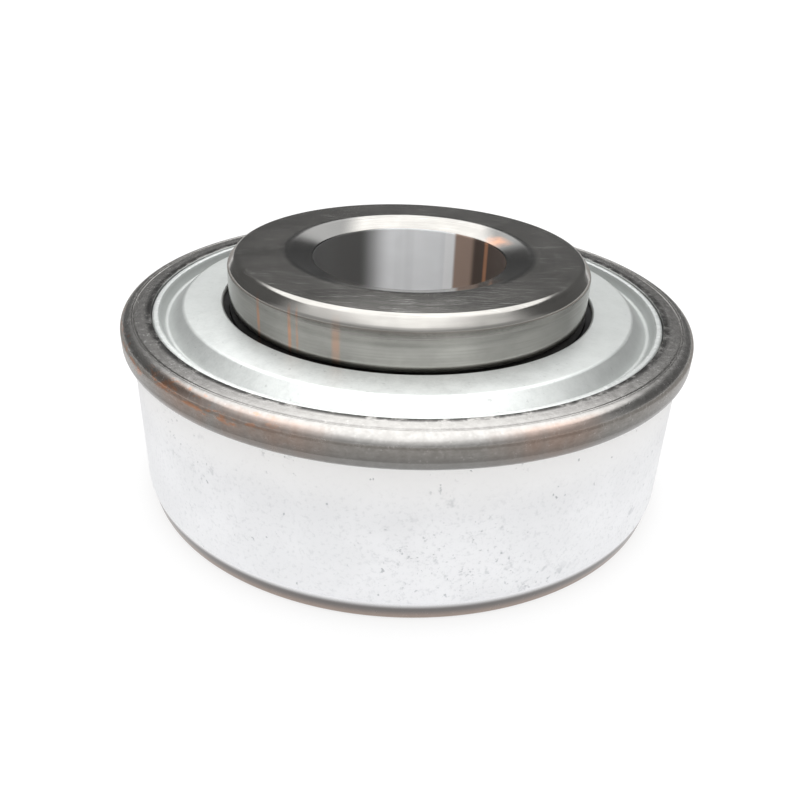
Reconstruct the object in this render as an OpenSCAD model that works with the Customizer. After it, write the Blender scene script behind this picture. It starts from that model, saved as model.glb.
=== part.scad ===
// Sealed ball insert bearing with an extended inner ring and a flanged outer ring.
// It stands on the lower face of its outer ring. The origin is the centre of that face and +Z is its axis.
// Sizes are in millimetres. Every ring is a turned or pressed profile revolved around the axis.

/* [Inner ring] */
// Diameter of the bore
bore_d = 19.05; // [17:0.05:21]
// Height of the inner ring's top face above the surface that the bearing stands on
inner_top = 23.4; // [21.9:0.1:28]
// Height of the inner ring's lower face above that surface
inner_setback = 0.25; // [0.1:0.05:0.6]
// Width of the sloping edge around the top face
top_edge_run = 0.85; // [0.3:0.05:1.5]
// Depth of the sloping edge around the top face
top_edge_drop = 1; // [0.3:0.05:1.6]
// Radius that softens both corners of that sloping edge
top_edge_soft = 0.5; // [0.2:0.05:0.8]
// Width of the bevel at each end of the bore
bore_edge_run = 1.75; // [0.8:0.05:2.2]
// Depth of the bevel at each end of the bore
bore_edge_drop = 1.45; // [0.8:0.05:2]
// Radius that softens both corners of that bevel
bore_edge_soft = 0.8; // [0.3:0.05:1.2]
// Radius of the inner ring's lower outside corner
inner_low_round = 0.8; // [0.3:0.05:1.2]

/* [Outer ring] */
// Width of the outer ring
outer_w = 18.5; // [17.7:0.1:20]
// Thickness of the wall between the outer race's bottom and the round seat that fits a housing
race_wall = 2.911; // [2.411:0.1:4.011]
// Width of the lead-in taper below the housing seat
lead_run = 0.45; // [0.3:0.05:0.9]
// Height of the lead-in taper
lead_rise = 2.1; // [1.5:0.1:3.5]
// Radius that softens both ends of the lead-in taper
lead_soft = 0.4; // [0.2:0.05:0.6]
// How far the flange stands out from the housing seat
flange_reach = 0.9; // [0.6:0.05:2.5]
// Thickness of the flange
flange_t = 3.2; // [2.7:0.1:4.5]
// Radius of the flange's upper edge
flange_top_round = 1.05; // [0.6:0.05:1.2]
// Radius of the flange's lower edge
flange_low_round = 1.1; // [0.5:0.1:1.2]
// Thickness of the wall outside the stepped seats that hold the shields and seals
seat_wall = 2; // [1.9:0.05:2.4]
// How far each undercut reaches past its seat
undercut = 0.3; // [0.15:0.05:0.4]
// Width of the thin turned line around the upper face
roll_line_w = 0.3; // [0.2:0.02:0.36]
// Distance from that line's middle to the upper edge round of the flange
roll_line_gap = 0.2; // [0.2:0.02:0.4]

/* [Balls and cage] */
// Diameter of the circle through the centres of the balls
pitch_d = 40.6; // [39:0.1:46]
// Diameter of each ball
ball_d = 7.938; // [7.138:0.1:8.338]
// Depth of each race below the shoulders beside it
race_depth = 1.519; // [1.219:0.05:1.719]
// Clearance between a ball and the bottom of each race
race_play = 0.02; // [0.01:0.005:0.06]
// Radius of each race's cross section as a share of the ball's radius
race_fit = 1.04; // [1.02:0.01:1.08]
// Thickness of the cage's steel strip
cage_t = 0.8; // [0.5:0.05:0.9]
// Width of that strip
cage_w = 3; // [2.7:0.1:3.4]
// Least width of flat strip left between a rivet head and the pockets beside it
rivet_land = 0.3; // [0.2:0.05:0.5]
// Clearance between a ball and its pocket
pocket_play = 0.15; // [0.08:0.01:0.25]
// Diameter of the rivets that join the two halves of the cage
rivet_d = 1.6; // [1.2:0.1:1.8]
// Diameter of the rivet heads
rivet_head_d = 2.6; // [2.2:0.1:2.8]
// Height of the rivet heads
rivet_head_h = 0.6; // [0.4:0.05:0.9]

/* [Shields] */
// Thickness of the shield's sheet steel
sheet_t = 0.6; // [0.4:0.05:0.7]
// Open gap between the inner ring and each shield
shield_gap = 0.6; // [0.5:0.05:1]
// Radius of the shield's inner edge and of its bead
shield_edge_round = 0.25; // [0.1:0.05:0.28]
// Radius of the fold where the flat face turns down into the groove
fold_round = 0.5; // [0.2:0.05:0.8]
// Width of the slope from the flat face down to the groove's floor
slope_run = 1.45; // [1.2:0.05:1.7]
// Depth of the groove's floor below the flat face
groove_depth = 1.4; // [1.1:0.05:1.5]
// Width of the groove's floor
groove_w = 0.35; // [0.3:0.05:0.5]
// Radius of both corners of the groove's floor
groove_round = 0.2; // [0.1:0.02:0.2]
// Width of the wall that rises from the groove's floor to the bead
groove_wall_run = 0.5; // [0.3:0.05:0.6]
// Height of the bead above the groove's floor
bead_rise = 0.95; // [0.7:0.05:1.05]
// Width of the bead
bead_w = 0.6; // [0.5:0.05:0.8]
// Clearance between the seat and what sits in it
seat_play = 0.05; // [0.02:0.01:0.1]
// Height of the upper shield's flat face above the outer ring's upper face
upper_stand = 0.3; // [0.1:0.05:0.4]
// Depth of the lower shield's flat face inside the outer ring's lower face
lower_inset = 0.3; // [0.1:0.05:0.6]

/* [Seals] */
// Thickness of the seal's outer rim, which is clamped in the seat
seal_rim_t = 0.85; // [0.6:0.05:1]
// Width of that rim
seal_rim_w = 1.7; // [1.2:0.05:1.9]
// Thickness of the seal's web behind the shield's flat face
seal_web_t = 1; // [0.7:0.05:1.1]
// Clearance between the seal's lip and the inner ring
lip_play = 0.05; // [0.02:0.01:0.1]
// Thickness of the lip at its tip
lip_t = 0.3; // [0.2:0.05:0.5]

/* [Hidden] */
$fn = 128;
bore_r = bore_d / 2;
ball_r = ball_d / 2;
pitch_r = pitch_d / 2;
inner_r = pitch_r - ball_r + race_depth;
shoulder_r = pitch_r + ball_r - race_depth;
band_r = pitch_r + ball_r + race_play + race_wall;
flange_r = band_r + flange_reach;
seat_r = band_r - seat_wall;
ball_z = outer_w / 2;
flange_z = outer_w - flange_t;
race_r = race_fit * ball_r;
inner_race_r = pitch_r - ball_r - race_play + race_r;
outer_race_r = pitch_r + ball_r + race_play - race_r;
pocket_r = ball_r + pocket_play;
pocket_reach = pocket_r + cage_t;
cage_in_r = pitch_r - cage_w / 2;
cage_out_r = pitch_r + cage_w / 2;
// As many balls as the pitch circle holds with a rivet head between each two pockets.
ball_count = floor(180 / asin((pocket_reach + rivet_head_d / 2 + rivet_land) / pitch_r));
ball_step = 360 / ball_count;
// Shield heights are measured from the seal's rim, which the shield's rim rests on.
bead_z = sheet_t + bead_rise;
face_z = sheet_t + groove_depth;
// Shield radii run inward from the seat.
rim_r = seat_r + undercut - seat_play;
bead_out_r = seat_r - seat_play;
bead_in_r = bead_out_r - bead_w;
groove_out_r = bead_in_r - groove_wall_run;
groove_in_r = groove_out_r - groove_w;
face_out_r = groove_in_r - slope_run;
hole_r = inner_r + shield_gap;
// The underside turns a little further in than the face, so the sheet is as thick on its slope as on the flat.
slope_angle = atan2(groove_depth, slope_run);
fold_shift = sheet_t * tan(slope_angle / 2);
groove_under_r = groove_in_r - fold_shift;
face_under_r = face_out_r - fold_shift;
// Heights of the seal rims, where each shield and its seal meet.
upper_datum = outer_w + upper_stand - face_z;
lower_datum = lower_inset + face_z;
seal_rim_in_r = bead_out_r - seal_rim_w;
// The steps of a softened corner, and how far a cut runs past what it cuts.
soft_steps = 5;
past = 1;
dome_share = 0.6;

steel_ground = [0.46, 0.45, 0.43];
steel_zinc = [0.90, 0.92, 0.94];
steel_shield = [0.80, 0.83, 0.82];
steel_ball = [0.86, 0.87, 0.88];
steel_strip = [0.62, 0.60, 0.55];
rubber_black = [0.06, 0.06, 0.065];

// Cuts a square corner to a round one. The corner is at [r, z] and out is the way that it points.
module round_corner(r, z, radius, out) {
    translate([r - out.x * radius, z - out.y * radius])
        difference() {
            translate([out.x > 0 ? 0 : -radius - past, out.y > 0 ? 0 : -radius - past])
                square(radius + past);
            circle(r = radius);
        }
}

// The flat shape between two radii and two heights.
module ring_area(r_in, r_out, z_low, z_high) {
    translate([r_in, z_low])
        square([r_out - r_in, z_high - z_low]);
}

function unit(v) = v / norm(v);

// The arc that softens a corner between two straight sides of an outline.
function soft_corner(before, corner, after, radius) =
    let (
        back = unit(before - corner),
        ahead = unit(after - corner),
        half_angle = acos(back * ahead) / 2,
        middle = corner + unit(back + ahead) * radius / sin(half_angle),
        first = corner + back * radius / tan(half_angle) - middle,
        start = atan2(first.y, first.x),
        turn = sign(cross(ahead, back)) * (180 - 2 * half_angle) / soft_steps
    )
    [for (i = [0 : soft_steps]) middle + radius * [cos(start + i * turn), sin(start + i * turn)]];

module inner_ring_area() {
    low_bevel_in = [bore_r, inner_setback + bore_edge_drop];
    low_bevel_out = [bore_r + bore_edge_run, inner_setback];
    edge_low = [inner_r, inner_top - top_edge_drop];
    edge_high = [inner_r - top_edge_run, inner_top];
    high_bevel_out = [bore_r + bore_edge_run, inner_top];
    high_bevel_in = [bore_r, inner_top - bore_edge_drop];
    difference() {
        polygon([
            each soft_corner(high_bevel_in, low_bevel_in, low_bevel_out, bore_edge_soft),
            each soft_corner(low_bevel_in, low_bevel_out, [inner_r, inner_setback], bore_edge_soft),
            [inner_r, inner_setback],
            each soft_corner([inner_r, inner_setback], edge_low, edge_high, top_edge_soft),
            each soft_corner(edge_low, edge_high, high_bevel_out, top_edge_soft),
            each soft_corner(edge_high, high_bevel_out, high_bevel_in, bore_edge_soft),
            each soft_corner(high_bevel_out, high_bevel_in, low_bevel_in, bore_edge_soft)
        ]);
        round_corner(inner_r, inner_setback, inner_low_round, [1, -1]);
        translate([inner_race_r, ball_z])
            circle(r = race_r);
    }
}

module inner_ring() {
    color(steel_ground)
        rotate_extrude()
            inner_ring_area();
}

// The stepped seat and its undercut, from the rim's height to past the ring's face.
module seat_area(datum, way) {
    floor_z = datum - way * seal_rim_t;
    face_end = way > 0 ? outer_w + past : -past;
    ring_area(0, seat_r, min(floor_z, face_end), max(floor_z, face_end));
    lip_end = datum + way * (sheet_t + seat_play);
    ring_area(0, seat_r + undercut, min(datum, lip_end), max(datum, lip_end));
}

module outer_ring_area() {
    roll_r = flange_r - flange_top_round - roll_line_gap;
    lead_low = [band_r - lead_run, 0];
    lead_high = [band_r, lead_rise];
    difference() {
        union() {
            polygon([
                [shoulder_r, 0],
                each soft_corner([shoulder_r, 0], lead_low, lead_high, lead_soft),
                each soft_corner(lead_low, lead_high, [band_r, outer_w], lead_soft),
                [band_r, outer_w],
                [shoulder_r, outer_w]
            ]);
            ring_area(band_r - past, flange_r, flange_z, outer_w);
        }
        round_corner(flange_r, outer_w, flange_top_round, [1, 1]);
        round_corner(flange_r, flange_z, flange_low_round, [1, -1]);
        translate([outer_race_r, ball_z])
            circle(r = race_r);
        seat_area(upper_datum, 1);
        seat_area(lower_datum, -1);
        translate([roll_r, outer_w])
            circle(d = roll_line_w);
    }
}

module outer_ring() {
    color(steel_zinc)
        rotate_extrude()
            outer_ring_area();
}

// The sheet is flat around its hole and folds down into a groove. Outside the groove it is rolled up into a bead
// that stands on the rim, and the rim reaches into the undercut.
module shield_area() {
    face_in = [hole_r, face_z];
    face_out = [face_out_r, face_z];
    groove_in = [groove_in_r, sheet_t];
    groove_out = [groove_out_r, sheet_t];
    bead_in = [bead_in_r, bead_z];
    bead_out = [bead_out_r, bead_z];
    bead_foot = [bead_out_r, sheet_t];
    difference() {
        polygon([
            face_in,
            each soft_corner(face_in, face_out, groove_in, fold_round),
            each soft_corner(face_out, groove_in, groove_out, groove_round),
            each soft_corner(groove_in, groove_out, bead_in, groove_round),
            each soft_corner(groove_out, bead_in, bead_out, shield_edge_round),
            each soft_corner(bead_in, bead_out, bead_foot, shield_edge_round),
            bead_foot,
            [rim_r, sheet_t],
            [rim_r, 0],
            [groove_under_r, 0],
            [face_under_r, face_z - sheet_t],
            [hole_r, face_z - sheet_t]
        ]);
        round_corner(hole_r, face_z, shield_edge_round, [-1, 1]);
        round_corner(hole_r, face_z - sheet_t, shield_edge_round, [-1, -1]);
    }
}

module shield() {
    color(steel_shield)
        rotate_extrude()
            shield_area();
}

module upper_shield() {
    translate([0, 0, upper_datum])
        shield();
}

module lower_shield() {
    translate([0, 0, lower_datum])
        mirror([0, 0, 1])
            shield();
}

// The seal's rim lies on the seat's floor, its web is bonded under the shield and its lip reaches the inner ring.
module seal_area() {
    web_top = face_z - sheet_t;
    web_low = web_top - seal_web_t;
    web_turn_r = face_under_r - seal_web_t * tan(slope_angle / 2);
    lip_r = inner_r + lip_play;
    lip_top = (web_top + web_low + lip_t) / 2;
    polygon([
        [bead_out_r, 0],
        [groove_under_r, 0],
        [face_under_r, web_top],
        [hole_r + shield_edge_round, web_top],
        [lip_r, lip_top],
        [lip_r, lip_top - lip_t],
        [hole_r + shield_edge_round, web_low],
        [web_turn_r, web_low],
        [seal_rim_in_r, -seal_rim_t],
        [bead_out_r, -seal_rim_t]
    ]);
}

module seal() {
    color(rubber_black)
        rotate_extrude()
            seal_area();
}

module upper_seal() {
    translate([0, 0, upper_datum])
        seal();
}

module lower_seal() {
    translate([0, 0, lower_datum])
        mirror([0, 0, 1])
            seal();
}

// Places a piece on the pitch circle, at a whole or half step.
module at_step(k) {
    rotate([0, 0, k * ball_step])
        translate([pitch_r, 0, ball_z])
            children();
}

module ball(k) {
    color(steel_ball)
        at_step(k)
            sphere(r = ball_r);
}

// One half of the cage is a flat strip with a dome over each ball.
module cage_half(way) {
    color(steel_strip)
        difference() {
            intersection() {
                union() {
                    translate([0, 0, min(ball_z, ball_z + way * cage_t)])
                        cylinder(r = cage_out_r, h = cage_t);
                    for (k = [0 : ball_count - 1])
                        at_step(k)
                            sphere(r = pocket_reach);
                }
                translate([0, 0, min(ball_z, ball_z + way * pocket_reach)])
                    difference() {
                        cylinder(r = cage_out_r, h = pocket_reach);
                        translate([0, 0, -past])
                            cylinder(r = cage_in_r, h = pocket_reach + 2 * past);
                    }
            }
            for (k = [0 : ball_count - 1]) {
                at_step(k)
                    sphere(r = pocket_r);
                at_step(k + 0.5)
                    cylinder(d = rivet_d, h = 2 * pocket_reach, center = true);
            }
        }
}

module cage_upper() {
    cage_half(1);
}

module cage_lower() {
    cage_half(-1);
}

module rivet(k) {
    color(steel_strip)
        at_step(k + 0.5) {
            cylinder(d = rivet_d, h = 2 * cage_t, center = true);
            translate([0, 0, cage_t])
                cylinder(d1 = rivet_head_d, d2 = dome_share * rivet_head_d, h = rivet_head_h);
            translate([0, 0, -cage_t - rivet_head_h])
                cylinder(d1 = dome_share * rivet_head_d, d2 = rivet_head_d, h = rivet_head_h);
        }
}

outer_ring();
inner_ring();
upper_shield();
lower_shield();
upper_seal();
lower_seal();
cage_upper();
cage_lower();
for (k = [1 : ball_count]) {
    ball(k);
    rivet(k);
}
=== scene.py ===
"""Insert bearing with a long inner ring and a flanged outer ring, dressed on its packed model.

Every ring, shield and seal is an outline spun round the upright axis. All sizes are in metres.
"""

import math

import bmesh
import bpy
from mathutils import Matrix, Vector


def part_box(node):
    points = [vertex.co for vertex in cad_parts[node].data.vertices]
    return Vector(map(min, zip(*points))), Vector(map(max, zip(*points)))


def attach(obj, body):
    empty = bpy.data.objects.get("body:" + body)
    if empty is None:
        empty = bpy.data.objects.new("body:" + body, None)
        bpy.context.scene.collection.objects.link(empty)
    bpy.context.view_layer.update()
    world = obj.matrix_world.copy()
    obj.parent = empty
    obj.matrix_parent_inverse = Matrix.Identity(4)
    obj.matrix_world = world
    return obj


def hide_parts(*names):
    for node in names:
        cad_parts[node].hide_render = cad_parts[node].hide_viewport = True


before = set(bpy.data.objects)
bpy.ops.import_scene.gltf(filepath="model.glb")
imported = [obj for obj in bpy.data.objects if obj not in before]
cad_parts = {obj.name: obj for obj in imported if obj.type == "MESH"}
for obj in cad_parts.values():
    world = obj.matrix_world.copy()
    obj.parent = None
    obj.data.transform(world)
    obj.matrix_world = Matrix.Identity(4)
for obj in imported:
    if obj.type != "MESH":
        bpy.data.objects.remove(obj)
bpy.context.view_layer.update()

bl_info = {
    "name": "Insert bearing",
    "version": (1, 0, 0),
    "blender": (4, 5, 0),
    "location": "3D View > Sidebar > Bearing",
    "description": "Builds the rings, shields, seals and balls of an insert bearing with their finishes",
    "category": "Object",
}

MM = 0.001
AROUND = 256
BALLS = sorted(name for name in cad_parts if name.startswith("ball_"))
RIVETS = sorted(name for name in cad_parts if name.startswith("rivet_"))
OUTER_LOW, OUTER_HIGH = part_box("outer_ring")
INNER_LOW, INNER_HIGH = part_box("inner_ring")
SHIELD_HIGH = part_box("upper_shield")[1]


def length(label, text, millimetres):
    """A size that is set in metres and shown in the scene's units."""
    return bpy.props.FloatProperty(
        name=label, description=text, default=millimetres * MM, min=0.0,
        unit="LENGTH", subtype="DISTANCE", precision=5,
    )


def colour(label, text, value):
    """A colour of a finish."""
    return bpy.props.FloatVectorProperty(
        name=label, description=text, default=value, size=3, min=0.0, max=1.0, subtype="COLOR",
    )


def share(label, text, value, most=1.0):
    """A plain number such as a roughness."""
    return bpy.props.FloatProperty(
        name=label, description=text, default=value, min=0.0, max=most, subtype="FACTOR",
    )


class RingSizes(bpy.types.PropertyGroup):
    """Sizes of the two rings."""

    inner_radius: length("Inner ring radius", "Outside radius of the inner ring", INNER_HIGH.x / MM)
    inner_top: length("Inner ring top", "Height of the inner ring's top face", INNER_HIGH.z / MM)
    inner_foot: length("Inner ring foot", "Height of the inner ring's lower face", INNER_LOW.z / MM)
    bore_radius: length("Bore radius", "Radius of the bore", 9.525)
    bore_edge_run: length("Bore bevel width", "Width of the bevel at each end of the bore", 2.5)
    bore_edge_drop: length("Bore bevel depth", "Depth of the bevel at each end of the bore", 0.7)
    bore_edge_soft: length("Bore bevel rounding", "Radius that softens the bevel's inner corner", 0.3)
    mouth_soft: length("Mouth rounding", "Radius that blends the bevel into the face around it", 2.6)
    top_edge_run: length("Top edge width", "Width of the sloping edge round the top face", 0.85)
    top_edge_drop: length("Top edge depth", "Depth of the sloping edge round the top face", 1.0)
    top_edge_soft: length("Top edge rounding", "Radius that blends both corners of that edge", 0.7)
    flange_radius: length("Flange radius", "Outside radius of the flange", OUTER_HIGH.x / MM)
    outer_top: length("Outer ring top", "Height of the outer ring's upper face", OUTER_HIGH.z / MM)
    band_radius: length("Seat radius", "Radius of the ground seat that fits a housing", 27.2)
    flange_height: length("Flange thickness", "Thickness of the flange", 3.2)
    flange_round: length("Flange rounding", "Radius of the flange's upper edge", 1.05)
    flange_low_round: length("Flange lower rounding", "Radius of the flange's lower edge", 1.1)
    line_gap: length("Turned line place", "Distance of the turned line from the upper rounding", 0.2)
    line_width: length("Turned line width", "Width of the thin turned line", 0.3)
    taper_width: length("Taper width", "Width of the lead-in taper", 0.45)
    taper_height: length("Taper height", "Height of the lead-in taper", 2.1)
    taper_soft: length("Taper rounding", "Radius that softens both ends of the taper", 0.4)
    seat_radius: length("Shield seat radius", "Radius of the stepped seat for the shields", 25.2)
    undercut: length("Undercut", "Depth of the groove that each shield is pressed into", 0.3)
    shoulder_radius: length("Outer shoulder", "Radius of the shoulders beside the outer race", 22.75)


class BallSizes(bpy.types.PropertyGroup):
    """Sizes of the balls and races."""

    pitch_radius: length("Pitch radius", "Radius of the circle through the ball centres", 20.3)
    ball_radius: length("Ball radius", "Radius of each ball", 3.969)
    race_play: length("Race play", "Clearance between a ball and the bottom of a race", 0.02)
    race_radius: length("Race radius", "Radius of each race's cross section", 4.12776)


class ShieldSizes(bpy.types.PropertyGroup):
    """Sizes of the pressed shields and of the seals behind them."""

    upper_face: length("Shield face", "Height of the upper shield's flat face", SHIELD_HIGH.z / MM)
    lower_face: length("Lower shield face", "Height of the lower shield's flat face", 0.3)
    sheet: length("Sheet thickness", "Thickness of the shield's sheet steel", 0.6)
    hole_radius: length("Hole radius", "Radius of the shield's hole", 18.45)
    face_radius: length("Face radius", "Outer radius of the flat face", 22.25)
    groove_in: length("Groove inner radius", "Inner radius of the groove's floor", 23.7)
    groove_out: length("Groove outer radius", "Outer radius of the groove's floor", 24.05)
    bead_in: length("Bead inner radius", "Inner radius of the bead", 24.55)
    bead_out: length("Bead outer radius", "Outer radius of the bead", 25.15)
    rim_radius: length("Rim radius", "Radius of the rim in the undercut", 25.45)
    groove_depth: length("Groove depth", "Depth of the groove below the flat face", 1.4)
    bead_rise: length("Bead height", "Height of the bead above the groove's floor", 0.95)
    fold: length("Fold rounding", "Radius of the fold where the flat face turns down", 0.5)
    edge: length("Edge rounding", "Radius of the shield's edge and bead", 0.25)
    web: length("Seal web", "Thickness of the rubber behind the flat face", 1.0)
    seal_rim: length("Seal rim", "Thickness of the seal's clamped rim", 0.85)
    seal_rim_width: length("Seal rim width", "Width of the seal's clamped rim", 1.7)
    lip_radius: length("Lip radius", "Radius of the seal's lip", 17.9)
    lip: length("Lip thickness", "Thickness of the lip at its tip", 0.3)


class Finishes(bpy.types.PropertyGroup):
    """Colours and roughness of the finishes."""

    inner_steel: colour("Inner ring steel", "Turned and ground steel of the inner ring", (0.43, 0.418, 0.395))
    bore_steel: colour("Bore steel", "Honed steel of the bore", (0.95, 0.96, 0.97))
    # This colour is painted shade: the dark sides of the bore and its mouth, and the front left of the inner ring's
    # wall.
    bore_shade: colour("Bore shade", "Dull grey side of the bore", (0.12, 0.12, 0.117))
    # This colour is a painted brown reflection, not dried oil: it tints the bore, the flange's rim and its taper.
    painted_brown_reflection: colour("Oil tint", "Warm tint of dried oil on bare steel", (0.40, 0.29, 0.235))
    dark_steel: colour("Heat-treated steel", "Unground steel of the flange", (0.48, 0.47, 0.455))
    # These glints are painted orange reflections on the inner ring, the bore and the flange's rim, not oil.
    glint: colour("Warm glints", "Orange tint of oil on the flange's rim", (0.72, 0.33, 0.17))
    # This colour also paints the shade on the lowest part of the flange.
    dark_patch_and_shade: colour("Dark patches", "Darker patches of the flange", (0.40, 0.39, 0.375))
    band_steel: colour("Ground band", "Ground seat of the outer ring", (0.89, 0.895, 0.91))
    # This colour also paints the dark band reflected in the taper.
    band_stain_and_shade: colour("Band stain", "Pits and stains on the ground seat", (0.40, 0.42, 0.44))
    race_steel: colour("Race steel", "Polished races", (0.72, 0.72, 0.71))
    shield_zinc: colour("Shield zinc", "Satin zinc of the shields", (0.81, 0.835, 0.82))
    # This colour is also painted shade in the groove and on the far side and right of the shield.
    shield_shade: colour("Shield shade", "Darker grain of the zinc", (0.69, 0.715, 0.70))
    seal_rubber: colour("Seal rubber", "Black rubber of the seals", (0.018, 0.018, 0.019))
    ball_chrome: colour("Ball steel", "Polished steel of the balls", (0.76, 0.77, 0.78))
    cage_strip: colour("Cage steel", "Pressed strip of the cage", (0.50, 0.48, 0.44))
    rivet_head: colour("Rivet steel", "Formed steel of the rivets", (0.58, 0.57, 0.55))
    inner_rough: share("Inner ring roughness", "Roughness of the inner ring", 0.15)
    band_rough: share("Band roughness", "Roughness of the ground seat", 0.42)
    dark_rough: share("Flange roughness", "Roughness of the flange", 0.25)
    shield_rough: share("Shield roughness", "Roughness of the zinc", 0.45)


class StageSettings(bpy.types.PropertyGroup):
    """Camera, floor and light."""

    focal: bpy.props.FloatProperty(name="Focal length", description="Lens in millimetres", default=36.0)
    floor_radius: length("Floor radius", "Radius of the pale floor", 4000.0)
    floor_colour: colour("Floor colour", "Colour of the floor", (0.92, 0.92, 0.92))
    floor_glow: share("Floor white", "Share of the floor that shows as plain white", 0.7)
    surround: share("Surround", "Brightness of the grey surround near the horizon", 0.15)
    card: colour("Shade card colour", "Grey card lying round the bearing, seen only in gloss", (0.42, 0.4, 0.38))
    card_inner: length("Shade card inner radius", "Inner radius of the ring-shaped grey card", 51.0)
    card_outer: length("Shade card outer radius", "Outer radius of the ring-shaped grey card", 400.0)
    softbox: share("Softbox", "Brightness of the light overhead", 2.4, 10.0)
    side_fade: share("Side fade", "How much higher the light starts towards the sides", 0.42)


class Outline:
    """A closed outline in the XZ plane, drawn as lines and arcs and then spun round the axis."""

    def __init__(self):
        self.mesh = bmesh.new()
        self.pen = None
        self.first = None
        self.soft = []

    def line(self, r, z, soft=0.0, steps=4):
        """Draws on to radius r and height z. The corner there is rounded by the radius soft."""
        if self.pen is None:
            self.pen = self.first = self.mesh.verts.new((r, 0.0, z))
        else:
            made = bmesh.ops.extrude_vert_indiv(self.mesh, verts=[self.pen])
            self.pen = made["verts"][0]
            self.pen.co = (r, 0.0, z)
        if soft > 0.0:
            self.soft.append((self.pen, soft, steps))
        return self

    def arc(self, r, z, turn, steps):
        """Draws an arc about the centre r, z. A positive turn in degrees is anticlockwise."""
        made = bmesh.ops.spin(
            self.mesh, geom=[self.pen], cent=(r, 0.0, z), axis=(0.0, -1.0, 0.0),
            angle=math.radians(turn), steps=steps,
        )
        self.pen = made["geom_last"][0]
        return self

    def close(self):
        """Joins the ends and rounds the soft corners."""
        self.mesh.edges.new((self.pen, self.first))
        bmesh.ops.contextual_create(self.mesh, geom=list(self.mesh.edges))
        for corner, radius, steps in self.soft:
            one, two = (edge.other_vert(corner).co - corner.co for edge in corner.link_edges)
            reach = radius / math.tan(one.angle(two) / 2)
            bmesh.ops.bevel(
                self.mesh, geom=[corner], offset=reach, offset_type="OFFSET", affect="VERTICES",
                segments=steps, profile=0.5, clamp_overlap=False, material=-1,
            )
        bmesh.ops.delete(self.mesh, geom=list(self.mesh.faces), context="FACES_ONLY")
        return self

    def spun(self, name):
        """The finished ring as an object."""
        bmesh.ops.spin(
            self.mesh, geom=self.mesh.verts[:] + self.mesh.edges[:], cent=(0.0, 0.0, 0.0),
            axis=(0.0, 0.0, 1.0), angle=math.tau, steps=AROUND, use_merge=True,
        )
        bmesh.ops.remove_doubles(self.mesh, verts=self.mesh.verts[:], dist=1e-7)
        bmesh.ops.recalc_face_normals(self.mesh, faces=self.mesh.faces[:])
        return finished(name, self.mesh)


def finished(name, mesh):
    """Makes a smooth shaded object of a bmesh, with its flat faces kept flat."""
    for face in mesh.faces:
        face.smooth = True
    data = bpy.data.meshes.new(name)
    mesh.to_mesh(data)
    mesh.free()
    piece = bpy.data.objects.new(name, data)
    bpy.context.scene.collection.objects.link(piece)
    weighted = piece.modifiers.new("Flat faces", "WEIGHTED_NORMAL")
    weighted.keep_sharp = True
    return piece


def placed(piece, body, slot, *nodes):
    """Puts a piece on its body in place of its CAD nodes."""
    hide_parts(*nodes)
    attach(piece, body)


def zones(piece, finishes, choose):
    """Gives each face the finish that choose returns for its middle radius and height."""
    for finish in finishes:
        piece.data.materials.append(finish)
    for face in piece.data.polygons:
        middle = face.center
        face.material_index = choose(math.hypot(middle.x, middle.y), middle.z)


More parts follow.
